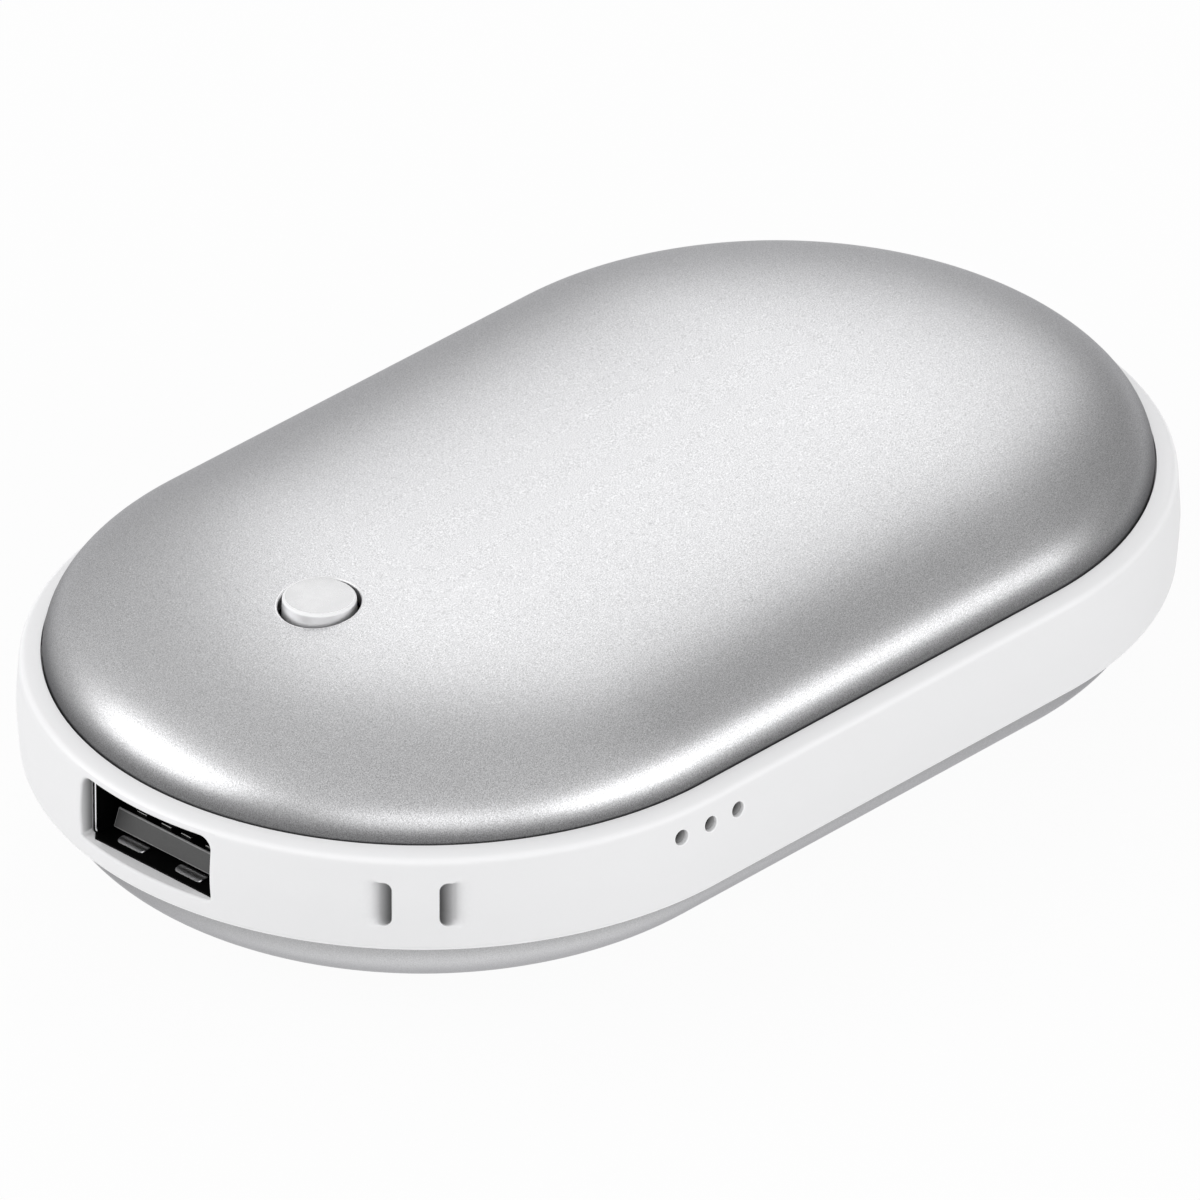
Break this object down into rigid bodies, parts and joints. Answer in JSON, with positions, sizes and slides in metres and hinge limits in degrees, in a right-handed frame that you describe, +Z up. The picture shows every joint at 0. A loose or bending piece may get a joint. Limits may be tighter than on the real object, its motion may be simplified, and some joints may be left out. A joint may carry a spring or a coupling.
{
  "type": "rechargeable hand warmer",
  "caption": "Pill-shaped rechargeable hand warmer: satin metal shells on a white frame, with a sprung push button, USB output socket, charging socket, lights and lanyard bridge.",
  "frame": {"origin": "on the surface that the warmer lies on, under the middle of its plan", "axes": "+X along the body away from the USB end, +Y towards the charging socket's side, +Z up through the push button"},
  "size_m": [0.0979, 0.06, 0.0266],
  "materials": {
    "shell_aluminium": "fine bead-blasted satin",
    "frame_plastic": "smooth white moulding, soft gloss",
    "button_metal": "satin, edge softly rounded",
    "clip_plastic": "black moulding",
    "guide_plastic": "natural white moulding",
    "board_laminate": "green lacquered laminate",
    "screw_steel": "zinc plated",
    "socket_steel": "nickel plated sheet",
    "contact_gold": "gold plated",
    "socket_plastic": "black moulding",
    "switch_plastic": "black moulding",
    "light_plastic": "milky clear moulding",
    "led_body": "white package with a yellow face",
    "ferrite": "pressed ferrite",
    "chip_resin": "moulded resin",
    "capacitor_ceramic": "fired ceramic with tinned ends",
    "cell_wrap": "shrink sleeve",
    "nickel": "rolled strip",
    "tray_plastic": "white moulding",
    "heater_film": "amber film over an etched track",
    "pad_foam": "soft foam",
    "sensor_bead": "resin-dipped bead",
    "battery_wire": "silicone sleeve",
    "heater_wire": "silicone sleeve",
    "sensor_wire": "thin sleeve"
  },
  "bodies": {
    "case": {"middle_frame": "frame_plastic", "top_shell": "shell_aluminium", "bottom_shell": "shell_aluminium", "top_clip_ring": "clip_plastic", "bottom_clip_ring": "clip_plastic", "button_guide": "guide_plastic", "switch_housing": "switch_plastic", "switch_cover": "socket_steel", "switch_terminals": "socket_steel", "switch_snap_dome": "socket_steel", "main_board": "board_laminate", "board_screws": "screw_steel", "usb_shell": "socket_steel", "usb_tongue": "socket_plastic", "usb_contacts": "contact_gold", "charge_shell": "socket_steel", "charge_tongue": "socket_plastic", "light_pipe": "light_plastic", "status_leds": "led_body", "power_coil": "ferrite", "control_chips": "chip_resin", "chip_capacitors": "capacitor_ceramic", "cell_near": "cell_wrap", "cell_far": "cell_wrap", "plus_strip": "nickel", "minus_strip": "nickel", "battery_tray": "tray_plastic", "battery_clamp": "tray_plastic", "tray_screws": "screw_steel", "top_heater": "heater_film", "bottom_heater": "heater_film", "top_pad": "pad_foam", "bottom_pad": "pad_foam", "top_sensor": "sensor_bead", "bottom_sensor": "sensor_bead", "battery_leads": "battery_wire", "top_heater_leads": "heater_wire", "bottom_heater_leads": "heater_wire", "top_sensor_leads": "sensor_wire", "bottom_sensor_leads": "sensor_wire"},
    "button": {"button_cap": "button_metal", "switch_plunger": "switch_plastic"}
  },
  "joints": [
    {"name": "button_press", "type": "slide", "parent": "case", "child": "button", "axis": [0, 0, -1], "range_m": [0, 0.0004], "stiffness_N_per_m": 4000, "deforming": ["switch_snap_dome"]}
  ]
}
